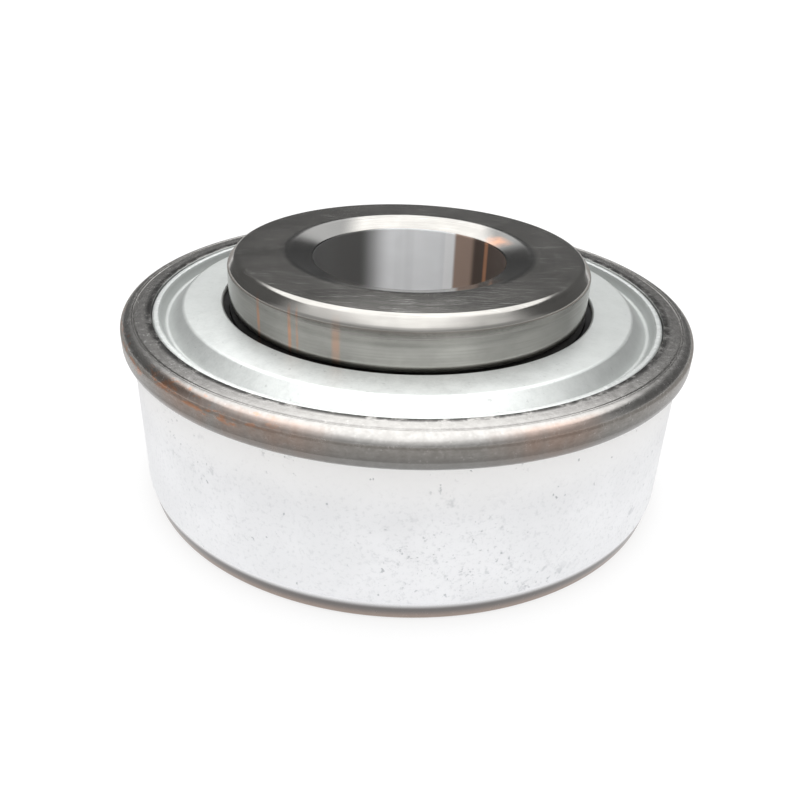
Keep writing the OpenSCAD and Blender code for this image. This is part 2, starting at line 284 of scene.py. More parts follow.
class Finish:
    """A procedural finish, with short calls for the nodes it is made of."""

    def __init__(self, name, metallic=1.0, roughness=0.4):
        self.material = bpy.data.materials.new(name)
        self.material.use_nodes = True
        self.tree = self.material.node_tree
        self.shader = self.tree.nodes["Principled BSDF"]
        self.shader.inputs["Metallic"].default_value = metallic
        self.shader.inputs["Roughness"].default_value = roughness
        self.place = self.add("ShaderNodeTexCoord").outputs["Object"]
        apart = self.add("ShaderNodeSeparateXYZ", Vector=self.place)
        self.x, self.y, self.z = apart.outputs
        self.radius = self.sum("SQRT", self.sum("ADD", self.power(self.x), self.power(self.y)))

    def add(self, kind, settings=None, **inputs):
        """Adds a node. An input is a number, a colour or another node's output."""
        node = self.tree.nodes.new(kind)
        for key, value in (settings or {}).items():
            setattr(node, key, value)
        for key, value in inputs.items():
            socket = node.inputs[key.replace("_", " ")] if isinstance(key, str) else node.inputs[key]
            self.feed(socket, value)
        return node

    def feed(self, socket, value):
        """Links an output to a socket, or sets its value."""
        if isinstance(value, bpy.types.NodeSocket):
            self.tree.links.new(value, socket)
        else:
            socket.default_value = value

    def sum(self, operation, one, two=None, clamp=False):
        """One step of arithmetic."""
        node = self.add("ShaderNodeMath", {"operation": operation, "use_clamp": clamp})
        self.feed(node.inputs[0], one)
        if two is not None:
            self.feed(node.inputs[1], two)
        return node.outputs[0]

    def power(self, value):
        """A value times itself."""
        return self.sum("MULTIPLY", value, value)

    def between(self, value, low, high, smooth=True):
        """0 below low and 1 above high. It runs down where high is less than low."""
        kind = "SMOOTHSTEP" if smooth else "LINEAR"
        node = self.add("ShaderNodeMapRange", {"interpolation_type": kind}, Value=value)
        ends = (low, high, 0.0, 1.0) if low < high else (high, low, 1.0, 0.0)
        for name, end in zip(("From Min", "From Max", "To Min", "To Max"), ends):
            node.inputs[name].default_value = end
        return node.outputs[0]

    def noise(self, vector, scale, detail=2.0, rough=0.5):
        """Soft noise from 0 to 1."""
        node = self.add("ShaderNodeTexNoise", None, Vector=vector, Scale=scale, Detail=detail, Roughness=rough)
        return node.outputs["Fac"]

    def specks(self, vector, scale):
        """Distance to the nearest of many scattered points, in cells."""
        node = self.add("ShaderNodeTexVoronoi", {"feature": "F1"}, Vector=vector, Scale=scale)
        return node.outputs["Distance"]

    def around(self, slow, along, fine):
        """Coordinates that change slowly round the axis and quickly along the outline."""
        node = self.add("ShaderNodeCombineXYZ")
        self.feed(node.inputs[0], self.sum("MULTIPLY", self.sum("DIVIDE", self.x, self.radius), slow))
        self.feed(node.inputs[1], self.sum("MULTIPLY", self.sum("DIVIDE", self.y, self.radius), slow))
        self.feed(node.inputs[2], self.sum("MULTIPLY", along, fine))
        return node.outputs[0]

    def outline_place(self):
        """How far along the outline a point is, on faces, walls and bevels alike."""
        return self.sum("ADD", self.radius, self.sum("MULTIPLY", self.z, 0.73))

    def scratches(self, angle, shift, length_scale, width_scale, low, high):
        """Thin straight scratches at one angle."""
        turned = self.add("ShaderNodeMapping")
        self.feed(turned.inputs["Vector"], self.place)
        turned.inputs["Location"].default_value = (shift, shift * 0.37, 0.0)
        turned.inputs["Rotation"].default_value = (0.0, 0.0, math.radians(angle))
        turned.inputs["Scale"].default_value = (length_scale, width_scale, length_scale)
        return self.between(self.noise(turned.outputs[0], 1.0, 1.0), low, high)

    def mixed(self, share_of, one, two):
        """A colour between two colours."""
        node = self.add("ShaderNodeMix", {"data_type": "RGBA"})
        self.feed(node.inputs["Factor"], share_of)
        for socket, value in ((node.inputs[6], one), (node.inputs[7], two)):
            self.feed(socket, value if isinstance(value, bpy.types.NodeSocket) else (*value, 1.0))
        return node.outputs[2]

    def bump(self, height, distance, strength=1.0, before=None):
        """Raises the surface by a height pattern."""
        node = self.add("ShaderNodeBump", None, Height=height, Distance=distance, Strength=strength)
        if before is not None:
            self.feed(node.inputs["Normal"], before)
        return node.outputs[0]

    def done(self, base, roughness=None, normal=None):
        """Connects the colour, roughness and relief, and gives the material."""
        self.feed(self.shader.inputs["Base Color"], base)
        if roughness is not None:
            self.feed(self.shader.inputs["Roughness"], roughness)
        if normal is not None:
            self.feed(self.shader.inputs["Normal"], normal)
        return self.material


def varied(finish, base, pattern, spread):
    """A roughness that moves about its base with a pattern."""
    return finish.sum("ADD", base - spread / 2, finish.sum("MULTIPLY", pattern, spread))


def inner_ring_finish(looks, ring):
    """Turned and ground steel with fine marks, light scratches, painted orange reflections in thin lines on the wall
    and in a spot at the mouth, and painted shade on the wall and at the sides of the mouth.
    """
    steel = Finish("Ground inner ring steel")
    marks = steel.noise(steel.around(1.5, steel.outline_place(), 9000.0), 1.0, 3.0, 0.6)
    cloud = steel.noise(steel.place, 220.0, 3.0)
    grain = steel.noise(steel.place, 4200.0, 2.0)
    along = steel.noise(steel.around(3.0, steel.z, 260.0), 1.0, 2.0)
    on_wall = steel.between(steel.z, INNER_HIGH.z - 0.3 * MM, INNER_HIGH.z - 1.2 * MM)
    on_top = steel.between(steel.z, INNER_HIGH.z - 0.25 * MM, INNER_HIGH.z - 0.05 * MM)
    one = steel.scratches(9.0, 0.31, 330.0, 9000.0, 0.62, 0.76)
    two = steel.scratches(-34.0, 0.77, 380.0, 8600.0, 0.62, 0.76)
    scratched = steel.sum("MULTIPLY", steel.sum("MAXIMUM", one, two), on_top)
    tone = steel.sum("ADD", steel.sum("MULTIPLY", cloud, 0.55), steel.sum("MULTIPLY", marks, 0.45))
    base = steel.mixed(steel.between(tone, 0.35, 0.65), tuple(c * 0.86 for c in looks.inner_steel),
                       tuple(min(1.0, c * 1.1) for c in looks.inner_steel))
    # Painted shade: the front of the wall darkens towards the left.
    near = steel.sum("MULTIPLY", on_wall, steel.between(steel.y, 0.0, -3.0 * MM))
    left = steel.sum("MULTIPLY", near, steel.between(steel.x, 3.0 * MM, -5.0 * MM))
    base = steel.mixed(steel.sum("MULTIPLY", left, 0.15), base, looks.bore_shade)
    # Painted reflections: thin orange lines on the front of the wall.
    for place, half, strength in ((-13.0, 0.2, 0.6), (-9.9, 0.22, 0.7), (-9.2, 0.15, 0.5), (-5.8, 0.5, 0.4)):
        aside = steel.sum("ABSOLUTE", steel.sum("SUBTRACT", steel.x, place * MM))
        painted_streak = steel.sum("MULTIPLY", steel.between(aside, half * MM, half * 0.3 * MM), steel.between(along, 0.3, 0.6))
        base = steel.mixed(steel.sum("MULTIPLY", steel.sum("MULTIPLY", painted_streak, near), strength), base, looks.glint)
    base = steel.mixed(steel.sum("MULTIPLY", scratched, 0.4), base, (0.75, 0.75, 0.74))
    # Painted shade: the bevel round the mouth is darkened at its left and right.
    mouth = ring.bore_radius + ring.bore_edge_run
    on_mouth = steel.between(steel.radius, mouth + 0.7 * MM, mouth)
    dull = steel.sum("MAXIMUM", steel.between(steel.x, -4.8 * MM, -7.6 * MM), steel.between(steel.x, 7.4 * MM, 9.4 * MM))
    base = steel.mixed(steel.sum("MULTIPLY", steel.sum("MULTIPLY", dull, on_mouth), 0.9), base, looks.bore_shade)
    # Painted reflection: an orange-brown spot at the far right of the mouth, where the bevel meets the bore.
    painted_mouth_glint = steel.sum("MULTIPLY", steel.between(steel.y, 3.0 * MM, 5.0 * MM), steel.between(cloud, 0.35, 0.6))
    painted_mouth_glint = steel.sum("MULTIPLY", painted_mouth_glint, steel.sum("MULTIPLY", steel.between(steel.x, 7.2 * MM, 8.4 * MM),
                                                   steel.between(steel.radius, 11.6 * MM, 10.6 * MM)))
    base = steel.mixed(steel.sum("MULTIPLY", painted_mouth_glint, 0.7), base, looks.glint)
    specks = steel.between(steel.specks(steel.place, 900.0), 0.09, 0.05)
    rare = steel.between(steel.noise(steel.place, 330.0, 1.0), 0.62, 0.68)
    base = steel.mixed(steel.sum("MULTIPLY", steel.sum("MULTIPLY", specks, rare), on_top), base, (0.8, 0.8, 0.8))
    rough = varied(steel, looks.inner_rough, steel.sum("ADD", steel.sum("MULTIPLY", grain, 0.5),
                                                       steel.sum("MULTIPLY", cloud, 0.5)), 0.16)
    relief = steel.bump(marks, 0.004 * MM, 0.5)
    relief = steel.bump(grain, 0.003 * MM, 0.35, relief)
    rough = steel.sum("ADD", rough, steel.sum("MULTIPLY", scratched, 0.08))
    return steel.done(base, rough, relief)


def bore_finish(looks):
    """Honed steel of the bore, bright in its middle, with painted light on its far wall: painted shade at the left, a
    painted highlight strip, and painted brown reflections, darker shade and a thin orange glint at the right.
    """
    steel = Finish("Honed bore steel", metallic=0.25)
    marks = steel.noise(steel.around(2.5, steel.z, 7000.0), 1.0, 3.0, 0.6)
    cloud = steel.noise(steel.place, 260.0, 2.0)
    bands = steel.noise(steel.around(5.0, steel.z, 8.0), 1.0, 2.0)
    base = steel.mixed(steel.between(cloud, 0.3, 0.7), tuple(c * 0.93 for c in looks.bore_steel), looks.bore_steel)
    base = steel.mixed(steel.sum("MULTIPLY", steel.between(bands, 0.45, 0.7), 0.12), base, looks.bore_shade)
    # Painted light on the far wall of the bore: shade at the left, a highlight strip, brown reflection, darker shade
    # and a thin orange glint at the right.
    left = steel.between(steel.x, -2.0 * MM, -5.6 * MM)
    strip = steel.sum("MULTIPLY", steel.between(steel.x, 3.7 * MM, 4.0 * MM), steel.between(steel.x, 5.0 * MM, 4.8 * MM))
    right = steel.between(steel.x, 4.7 * MM, 5.1 * MM)
    painted_dark_shade = steel.between(steel.x, 6.5 * MM, 7.1 * MM)
    painted_glint_line = steel.sum("MULTIPLY", steel.between(steel.x, 7.8 * MM, 8.0 * MM), steel.between(steel.x, 8.3 * MM, 8.1 * MM))
    far = steel.between(steel.y, -4.0 * MM, -2.5 * MM)
    # Each mark below is painted shade, a painted highlight or a painted reflection, not a stain.
    for stain, strength, tint in (
        (left, 1.0, looks.bore_shade), (strip, 0.8, (1.0, 1.0, 1.0)), (right, 1.0, looks.painted_brown_reflection),
        (painted_dark_shade, 0.95, tuple(c * 0.2 for c in looks.painted_brown_reflection)), (painted_glint_line, 0.55, looks.glint),
    ):
        base = steel.mixed(steel.sum("MULTIPLY", steel.sum("MULTIPLY", stain, far), strength), base, tint)
    return steel.done(base, varied(steel, 0.45, marks, 0.12), steel.bump(marks, 0.004 * MM, 0.4))


def flange_finish(looks, ring):
    """Dark heat-treated steel: finely mottled, with rubbed edges, a crimped inner edge with a ragged dark line, painted
    brown reflections and orange glints on the rim, painted shade on the lowest part of the flange and a painted
    reflection on the taper.
    """
    steel = Finish("Heat-treated flange steel")
    cloud = steel.noise(steel.place, 1500.0, 4.0, 0.65)
    wide = steel.noise(steel.around(7.0, steel.z, 60.0), 1.0, 3.0)
    grain = steel.noise(steel.place, 5200.0, 3.0, 0.6)
    marks = steel.noise(steel.around(2.0, steel.outline_place(), 6000.0), 1.0, 3.0, 0.6)
    base = steel.mixed(steel.between(cloud, 0.3, 0.7), looks.dark_patch_and_shade, looks.dark_steel)
    # Painted reflections: a brown tint on the front of the rim, to the left and right.
    on_rim = steel.between(steel.radius, ring.band_radius, ring.band_radius + 0.5 * MM)
    left = steel.sum("MULTIPLY", steel.between(steel.x, -3.0 * MM, -9.0 * MM), steel.between(steel.x, -24.0 * MM, -17.0 * MM))
    right = steel.sum("MULTIPLY", steel.between(steel.x, 5.0 * MM, 10.0 * MM), steel.between(steel.x, 18.0 * MM, 12.0 * MM))
    painted_reflection_zone = steel.sum("MULTIPLY", steel.sum("MAXIMUM", left, right), steel.between(steel.y, -8.0 * MM, -14.0 * MM))
    painted_brown_rim = steel.sum("MULTIPLY", steel.between(wide, 0.3, 0.6), steel.sum("MULTIPLY", painted_reflection_zone, on_rim))
    base = steel.mixed(steel.sum("MULTIPLY", painted_brown_rim, 0.3), base, tuple(c * 0.8 for c in looks.glint))
    rubbed = steel.between(steel.noise(steel.place, 1900.0, 3.0, 0.7), 0.6, 0.74)
    base = steel.mixed(steel.sum("MULTIPLY", rubbed, 0.3), base, tuple(min(1.0, c * 1.6) for c in looks.dark_steel))
    seat = ring.seat_radius
    ragged = steel.noise(steel.around(16.0, steel.radius, 900.0), 1.0, 4.0, 0.75)
    crimped = steel.sum("MULTIPLY", steel.between(steel.radius, seat + 0.75 * MM, seat + 0.25 * MM),
                        steel.between(steel.z, ring.outer_top - 0.6 * MM, ring.outer_top - 0.3 * MM))
    # A ragged dark line on the land beside the shield seat.
    ragged_dark_line = steel.sum("MULTIPLY", crimped, steel.between(ragged, 0.36, 0.54))
    base = steel.mixed(steel.sum("MULTIPLY", ragged_dark_line, 0.95), base, tuple(c * 0.14 for c in looks.dark_patch_and_shade))
    # Painted reflection: the taper is tinted brown with a dark band across it, like a reflection of the shade at its
    # foot.
    taper = steel.between(steel.z, ring.taper_height + 0.4 * MM, ring.taper_height)
    painted_taper_shadow = steel.sum("MULTIPLY", taper, steel.between(steel.z, 0.3 * MM, 1.2 * MM))
    base = steel.mixed(steel.sum("MULTIPLY", taper, 0.7), base, tuple(c * 0.8 for c in looks.painted_brown_reflection))
    base = steel.mixed(steel.sum("MULTIPLY", painted_taper_shadow, 0.75), base, tuple(c * 0.3 for c in looks.band_stain_and_shade))
    bright = steel.sum("MULTIPLY", taper, steel.between(steel.z, 1.3 * MM, ring.taper_height))
    base = steel.mixed(bright, base, looks.band_steel)
    # Painted glints: small orange reflections high on the rim at the front left.
    low_rim = steel.sum("MULTIPLY", steel.between(steel.radius, ring.band_radius, ring.band_radius + 0.3 * MM),
                        steel.between(steel.x, -7.0 * MM, -13.0 * MM))
    glint = steel.noise(steel.around(13.0, steel.z, 1500.0), 1.0, 3.0, 0.65)
    high_rim = steel.between(steel.z, ring.outer_top - 1.9 * MM, ring.outer_top - 1.4 * MM)
    painted_glints = steel.sum("MULTIPLY", steel.sum("MULTIPLY", steel.between(glint, 0.52, 0.64), high_rim),
                     steel.sum("MULTIPLY", low_rim, steel.between(steel.y, -4.0 * MM, -9.0 * MM)))
    base = steel.mixed(steel.sum("MULTIPLY", painted_glints, 0.6), base, looks.glint)
    # Painted shade: the lowest part of the flange, which faces down, is darkened.
    painted_underside_shade = steel.sum("MULTIPLY", steel.between(steel.z, ring.outer_top - ring.flange_height + 2.2 * MM,
                                                ring.outer_top - ring.flange_height + 0.8 * MM),
                      steel.between(steel.z, ring.taper_height + 1.0 * MM, ring.taper_height + 2.0 * MM))
    base = steel.mixed(steel.sum("MULTIPLY", painted_underside_shade, 0.7), base, tuple(c * 0.35 for c in looks.dark_patch_and_shade))
    rough = varied(steel, looks.dark_rough, steel.sum("ADD", steel.sum("MULTIPLY", cloud, 0.5),
                                                      steel.sum("MULTIPLY", grain, 0.5)), 0.2)
    relief = steel.bump(marks, 0.005 * MM, 0.4)
    relief = steel.bump(grain, 0.006 * MM, 0.4, relief)
    relief = steel.bump(steel.sum("MULTIPLY", ragged, crimped), 0.08 * MM, 0.4, relief)
    return steel.done(base, rough, relief)


def band_finish(looks):
    """Bright ground seat with a fine grain, scattered pits, faint stains and a painted highlight that lightens it
    towards the flange.
    """
    steel = Finish("Ground seat steel")
    marks = steel.noise(steel.around(3.0, steel.z, 8000.0), 1.0, 3.0, 0.6)
    grain = steel.noise(steel.place, 2600.0, 4.0, 0.7)
    cloud = steel.noise(steel.place, 130.0, 3.0, 0.6)
    cluster = steel.between(steel.noise(steel.place, 110.0, 2.0), 0.5, 0.62)
    flecks = steel.between(steel.noise(steel.place, 1900.0, 4.0, 0.75), 0.6, 0.68)
    smudge = steel.between(steel.noise(steel.place, 700.0, 3.0, 0.7), 0.58, 0.7)
    pits = steel.sum("MAXIMUM", flecks, steel.sum("MULTIPLY", smudge, 0.6))
    lone = steel.between(steel.noise(steel.place, 1300.0, 2.0, 0.6), 0.71, 0.75)
    pitted = steel.sum("MAXIMUM", steel.sum("MULTIPLY", pits, cluster), lone)
    base = steel.mixed(steel.between(cloud, 0.35, 0.65), tuple(c * 0.95 for c in looks.band_steel), looks.band_steel)
    base = steel.mixed(steel.sum("MULTIPLY", steel.between(grain, 0.5, 0.7), 0.2), base, looks.band_stain_and_shade)
    # Painted highlight: the seat is made lighter near the flange.
    base = steel.mixed(steel.sum("MULTIPLY", steel.between(steel.z, 10.0 * MM, 15.0 * MM), 0.9), base, (1.0, 1.0, 1.0))
    base = steel.mixed(steel.sum("MULTIPLY", pitted, 0.6), base, looks.band_stain_and_shade)
    rough = varied(steel, looks.band_rough, grain, 0.12)
    relief = steel.bump(marks, 0.004 * MM, 0.4)
    relief = steel.bump(pitted, -0.02 * MM, 0.5, relief)
    return steel.done(base, rough, relief)


def race_finish(looks):
    """Polished races and plain turned steel inside the ring."""
    steel = Finish("Polished race steel")
    marks = steel.noise(steel.around(2.0, steel.outline_place(), 12000.0), 1.0, 2.0)
    cloud = steel.noise(steel.place, 240.0, 2.0)
    base = steel.mixed(cloud, tuple(c * 0.85 for c in looks.race_steel), looks.race_steel)
    return steel.done(base, varied(steel, 0.16, marks, 0.08), steel.bump(marks, 0.002 * MM, 0.3))


def shield_finish(looks):
    """Satin zinc on pressed sheet, with a fine grain, dirt spots, painted shade in the groove and towards the far side
    and the right, and a crimped bead, lightened partly as rubbed zinc and partly as painted glints.
    """
    zinc = Finish("Satin zinc shield", metallic=0.72)
    grain = zinc.noise(zinc.place, 3800.0, 3.0, 0.65)
    cloud = zinc.noise(zinc.place, 300.0, 3.0, 0.6)
    spangle = zinc.noise(zinc.place, 1100.0, 2.0)
    marks = zinc.noise(zinc.around(6.0, zinc.radius, 4000.0), 1.0, 2.0)
    crimp = zinc.noise(zinc.around(55.0, zinc.radius, 900.0), 1.0, 3.0, 0.7)
    on_bead = zinc.between(zinc.radius, 24.4 * MM, 24.6 * MM)
    tone = zinc.sum("ADD", zinc.sum("MULTIPLY", grain, 0.35), zinc.sum("ADD", zinc.sum("MULTIPLY", cloud, 0.35),
                                                                   zinc.sum("MULTIPLY", spangle, 0.3)))
    base = zinc.mixed(zinc.between(tone, 0.3, 0.62), looks.shield_shade, looks.shield_zinc)
    dirt = zinc.sum("MULTIPLY", zinc.between(zinc.noise(zinc.place, 2100.0, 2.0), 0.66, 0.76), 0.3)
    base = zinc.mixed(dirt, base, tuple(c * 0.45 for c in looks.shield_shade))
    # Painted shade: the groove's floor is darkened.
    groove = zinc.sum("MULTIPLY", zinc.between(zinc.radius, 23.8 * MM, 24.05 * MM),
                      zinc.between(zinc.radius, 24.55 * MM, 24.35 * MM))
    base = zinc.mixed(zinc.sum("MULTIPLY", groove, 0.55), base, tuple(c * 0.3 for c in looks.shield_shade))
    # Painted shade: the far side and the right are darkened and the front left light.
    painted_far_shade = zinc.sum("MULTIPLY", zinc.between(zinc.y, -20.0 * MM, -2.0 * MM), 0.5)
    right = zinc.sum("MULTIPLY", zinc.between(zinc.x, 6.0 * MM, 20.0 * MM), 0.6)
    base = zinc.mixed(zinc.sum("MAXIMUM", painted_far_shade, right), base, tuple(c * 0.6 for c in looks.shield_shade))
    # The crimped bead is lightened in spots, partly rubbed zinc and partly painted glints.
    rubbed = zinc.sum("MULTIPLY", zinc.between(crimp, 0.5, 0.7), on_bead)
    base = zinc.mixed(zinc.sum("MULTIPLY", rubbed, 0.5), base, (0.9, 0.9, 0.9))
    rough = varied(zinc, looks.shield_rough, tone, 0.16)
    relief = zinc.bump(grain, 0.006 * MM, 0.35)
    relief = zinc.bump(marks, 0.004 * MM, 0.25, relief)
    relief = zinc.bump(zinc.sum("MULTIPLY", crimp, on_bead), 0.09 * MM, 0.5, relief)
    return zinc.done(base, rough, relief)


def rubber_finish(looks):
    """Black moulded rubber with a fine dull grain and a little dust."""
    rubber = Finish("Black seal rubber", metallic=0.0, roughness=0.6)
    rubber.shader.inputs["Specular IOR Level"].default_value = 0.35
    grain = rubber.noise(rubber.place, 5200.0, 3.0, 0.6)
    cloud = rubber.noise(rubber.place, 500.0, 2.0)
    base = rubber.mixed(rubber.between(cloud, 0.4, 0.7), looks.seal_rubber, tuple(c * 1.9 for c in looks.seal_rubber))
    return rubber.done(base, varied(rubber, 0.58, grain, 0.18), rubber.bump(grain, 0.01 * MM, 0.4))


def ball_finish(looks):
    """Lapped ball steel with the faintest tracks."""
    steel = Finish("Lapped ball steel")
    cloud = steel.noise(steel.place, 500.0, 2.0)
    grain = steel.noise(steel.place, 6000.0, 2.0)
    base = steel.mixed(cloud, tuple(c * 0.92 for c in looks.ball_chrome), looks.ball_chrome)
    return steel.done(base, varied(steel, 0.08, grain, 0.05), steel.bump(grain, 0.001 * MM, 0.2))


def strip_finish(name, tint, fine, rough):
    """Pressed or formed mild steel with a drawn grain and a trace of oil."""
    steel = Finish(name)
    grain = steel.noise(steel.place, fine, 3.0, 0.6)
    drawn = steel.noise(steel.around(4.0, steel.radius, 5000.0), 1.0, 3.0)
    cloud = steel.noise(steel.place, 700.0, 2.0)
    base = steel.mixed(steel.between(cloud, 0.35, 0.65), tuple(c * 0.8 for c in tint), tint)
    base = steel.mixed(steel.sum("MULTIPLY", steel.between(grain, 0.6, 0.75), 0.3), base, (0.3, 0.22, 0.14))
    relief = steel.bump(drawn, 0.006 * MM, 0.3)
    return steel.done(base, varied(steel, rough, grain, 0.18), steel.bump(grain, 0.005 * MM, 0.3, relief))


class BEARING_OT_outer_ring(bpy.types.Operator):
    """Make the outer ring: flange, ground seat, lead-in taper, shield seats and race."""

    bl_idname = "bearing.outer_ring"
    bl_label = "Outer ring"

    def execute(self, context):
        ring, ball = context.scene.ring_sizes, context.scene.ball_sizes
        looks, shield = context.scene.finishes, context.scene.shield_sizes
        top, band, rim, seat = ring.outer_top, ring.band_radius, ring.flange_radius, ring.seat_radius
        flange = top - ring.flange_height
        face_drop = shield.sheet + shield.groove_depth
        line_radius, line_half = rim - ring.flange_round - ring.line_gap, ring.line_width / 2
        low_round = ring.flange_low_round
        race_centre = ball.pitch_radius + ball.ball_radius + ball.race_play - ball.race_radius
        race_half = math.sqrt(ball.race_radius**2 - (ring.shoulder_radius - race_centre) ** 2)
        race_turn = math.degrees(math.asin(race_half / ball.race_radius)) * 2
        edge = 0.06 * MM
        line = Outline()
        line.line(seat, 0.0, edge, 2)
        line.line(band - ring.taper_width, 0.0, ring.taper_soft, 5)
        line.line(band, ring.taper_height, ring.taper_soft, 3)
        meeting = low_round - math.sqrt(low_round**2 - (low_round - (rim - band)) ** 2)
        line.line(band, flange + meeting)
        line.arc(rim - low_round, flange + low_round,
                 90.0 - math.degrees(math.asin((low_round - (rim - band)) / low_round)), 8)
        line.line(rim, top, ring.flange_round, 12)
        line.line(line_radius + line_half, top)
        line.arc(line_radius, top, -180.0, 6)
        line.line(seat, top, edge, 2)
        upper, lower = shield.upper_face - face_drop, shield.lower_face + face_drop
        lip = shield.sheet + 0.05 * MM
        for height, reach in ((upper + lip, seat), (upper + lip, seat + ring.undercut),
                              (upper, seat + ring.undercut), (upper, seat), (upper - shield.seal_rim, seat)):
            line.line(reach, height)
        line.line(ring.shoulder_radius, upper - shield.seal_rim, edge, 2)
        line.line(ring.shoulder_radius, top / 2 + race_half)
        line.arc(race_centre, top / 2, -race_turn, 20)
        line.line(ring.shoulder_radius, lower + shield.seal_rim, edge, 2)
        for height, reach in ((lower + shield.seal_rim, seat), (lower, seat), (lower, seat + ring.undercut),
                              (lower - lip, seat + ring.undercut), (lower - lip, seat)):
            line.line(reach, height)
        piece = line.close().spun("outer_ring_steel")

        def choose(radius, height):
            if radius < seat + ring.undercut - 0.01 * MM:
                return 2 if height < top - 0.1 * MM else 0
            on_band = ring.taper_height - 0.15 * MM < height < flange and radius > band - 0.1 * MM
            return 1 if on_band else 0

        zones(piece, (flange_finish(looks, ring), band_finish(looks), race_finish(looks)), choose)
        placed(piece, "outer", "outer_steel", "outer_ring")
        return {"FINISHED"}


class BEARING_OT_inner_ring(bpy.types.Operator):
    """Make the inner ring, which stands up out of the outer ring."""

    bl_idname = "bearing.inner_ring"
    bl_label = "Inner ring"

    def execute(self, context):
        ring, ball, looks = context.scene.ring_sizes, context.scene.ball_sizes, context.scene.finishes
        bore, out, top, foot = ring.bore_radius, ring.inner_radius, ring.inner_top, ring.inner_foot
        run, drop = ring.bore_edge_run, ring.bore_edge_drop
        middle = ring.outer_top / 2
        race_centre = ball.pitch_radius - ball.ball_radius - ball.race_play + ball.race_radius
        race_half = math.sqrt(ball.race_radius**2 - (race_centre - out) ** 2)
        race_turn = math.degrees(math.asin(race_half / ball.race_radius)) * 2
        line = Outline()
        line.line(bore, foot + drop, ring.bore_edge_soft, 6)
        line.line(bore + run, foot, ring.mouth_soft, 8)
        line.line(out, foot, 0.8 * MM, 6)
        line.line(out, middle - race_half)
        line.arc(race_centre, middle, -race_turn, 20)
        line.line(out, top - ring.top_edge_drop, ring.top_edge_soft, 6)
        line.line(out - ring.top_edge_run, top, ring.top_edge_soft, 8)
        line.line(bore + run, top, ring.mouth_soft, 8)
        line.line(bore, top - drop, ring.bore_edge_soft, 6)
        piece = line.close().spun("inner_ring_steel")

        def choose(radius, height):
            if radius < bore + 0.05 * MM:
                return 1
            return 2 if abs(height - middle) < race_half and radius < out - 0.02 * MM else 0

        zones(piece, (inner_ring_finish(looks, ring), bore_finish(looks), race_finish(looks)), choose)
        placed(piece, "inner", "inner_steel", "inner_ring")
        return {"FINISHED"}


def fold_shift(size):
    """How far in from the face's fold its underside folds, so the sheet is as thick on its slope."""
    return size.sheet * math.tan(math.atan2(size.groove_depth, size.groove_in - size.face_radius) / 2)


class BEARING_OT_shields(bpy.types.Operator):
    """Make the two pressed shields, each with a flat face, a groove and a rolled bead."""

    bl_idname = "bearing.shields"
    bl_label = "Shields"

    def execute(self, context):
        size, looks = context.scene.shield_sizes, context.scene.finishes
        finish = shield_finish(looks)
        shift = fold_shift(size)
        for name, face, way in (("upper", size.upper_face, 1.0), ("lower", size.lower_face, -1.0)):
            sheet, floor = size.sheet * way, face - size.groove_depth * way
            bead = floor + size.bead_rise * way
            line = Outline()
            line.line(size.hole_radius, face, size.edge, 5)
            line.line(size.face_radius, face, size.fold, 6)
            line.line(size.groove_in, floor, size.edge * 0.8, 4)
            line.line(size.groove_out, floor, size.edge * 0.8, 4)
            line.line(size.bead_in, bead, size.edge, 5)
            line.line(size.bead_out, bead, size.edge, 6)
            line.line(size.bead_out, floor)
            line.line(size.rim_radius, floor)
            line.line(size.rim_radius, floor - sheet)
            line.line(size.groove_in - shift, floor - sheet)
            line.line(size.face_radius - shift, face - sheet)
            line.line(size.hole_radius, face - sheet, size.edge, 4)
            piece = line.close().spun(f"{name}_shield_sheet")
            piece.data.materials.append(finish)
            placed(piece, "outer", "shield_zinc", f"{name}_shield")
        return {"FINISHED"}


class BEARING_OT_seals(bpy.types.Operator):
    """Make the two rubber seals behind the shields."""

    bl_idname = "bearing.seals"
    bl_label = "Seals"

    def execute(self, context):
        size, looks = context.scene.shield_sizes, context.scene.finishes
        finish = rubber_finish(looks)
        shift = fold_shift(size)
        for name, face, way in (("upper", size.upper_face, 1.0), ("lower", size.lower_face, -1.0)):
            datum = face - way * (size.sheet + size.groove_depth)
            web_top = face - way * size.sheet
            web_low = web_top - way * size.web
            lip_top = (web_top + web_low + way * size.lip) / 2
            lip_root = size.hole_radius + size.edge
            line = Outline()
            line.line(size.bead_out, datum)
            line.line(size.groove_in - shift, datum)
            line.line(size.face_radius - shift, web_top)
            line.line(lip_root, web_top, 0.15 * MM, 3)
            line.line(size.lip_radius, lip_top, 0.06 * MM, 3)
            line.line(size.lip_radius, lip_top - way * size.lip, 0.06 * MM, 3)
            line.line(lip_root, web_low, 0.15 * MM, 3)
            line.line(size.face_radius - shift * (1.0 + size.web / size.sheet), web_low, 0.15 * MM, 3)
            line.line(size.bead_out - size.seal_rim_width, datum - way * size.seal_rim, 0.1 * MM, 3)
            line.line(size.bead_out, datum - way * size.seal_rim, 0.1 * MM, 3)
            piece = line.close().spun(f"{name}_seal_rubber")
            piece.data.materials.append(finish)
            placed(piece, "outer", "seal_rubber", f"{name}_seal")
        return {"FINISHED"}


class BEARING_OT_balls(bpy.types.Operator):
    """Make the balls, each on its own body."""

    bl_idname = "bearing.balls"
    bl_label = "Balls"

    def execute(self, context):
        size, looks = context.scene.ball_sizes, context.scene.finishes
        finish = ball_finish(looks)
        for name in BALLS:
            low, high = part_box(name)
            mesh = bmesh.new()
            bmesh.ops.create_icosphere(mesh, subdivisions=5, radius=size.ball_radius)
            bmesh.ops.translate(mesh, verts=mesh.verts[:], vec=(low + high) / 2)
            piece = finished(f"{name}_steel", mesh)
            piece.data.materials.append(finish)
            placed(piece, name.replace("ball", "roller"), "ball_steel", name)
        return {"FINISHED"}


